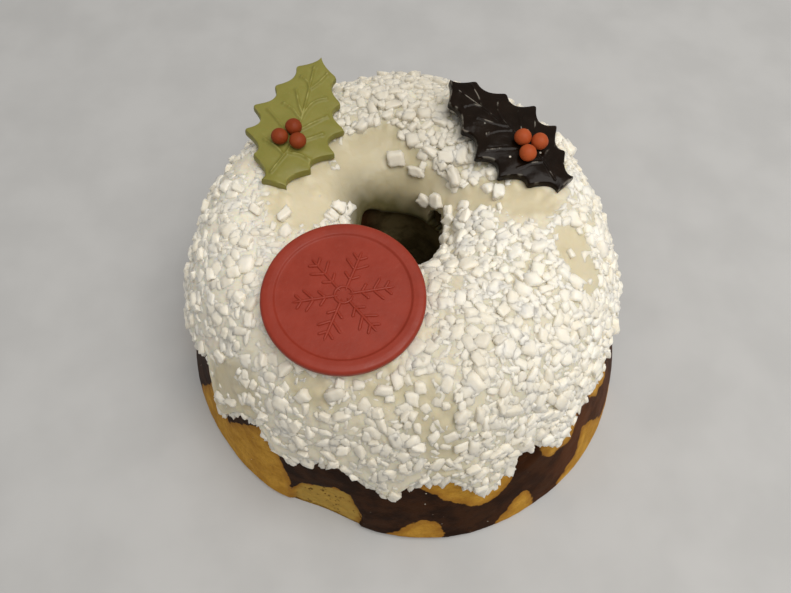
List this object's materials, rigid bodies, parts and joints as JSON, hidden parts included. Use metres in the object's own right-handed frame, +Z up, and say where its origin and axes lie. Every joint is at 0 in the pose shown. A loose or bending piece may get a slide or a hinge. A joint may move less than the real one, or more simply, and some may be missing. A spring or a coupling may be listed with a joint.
{
  "type": "iced marble bundt cake",
  "caption": "Ring-shaped marble sponge cake with white icing run down its sides, sugar nibs, a red moulded medallion and moulded holly leaves with berries.",
  "frame": {"origin": "middle of the cake's footprint, on the surface it stands on", "axes": "+Z up, -Y towards the side that carries the medallion, +X to that side's right"},
  "size_m": [0.1777, 0.1806, 0.0915],
  "materials": {
    "sponge": "baked crust, satin, marbled yellow and cocoa",
    "icing": "smooth set icing with white sugar nibs",
    "medallion_red": "satin moulded chocolate",
    "leaf_green": "satin moulded chocolate",
    "leaf_dark": "glossy moulded chocolate",
    "berry_red": "matt sugar paste"
  },
  "bodies": {
    "root": {"cake": "sponge", "icing": "icing", "medallion": "medallion_red", "leaf_green": "leaf_green", "leaf_dark": "leaf_dark", "berry_green_1": "berry_red", "berry_green_2": "berry_red", "berry_green_3": "berry_red", "berry_dark_1": "berry_red", "berry_dark_2": "berry_red", "berry_dark_3": "berry_red"}
  },
  "joints": []
}
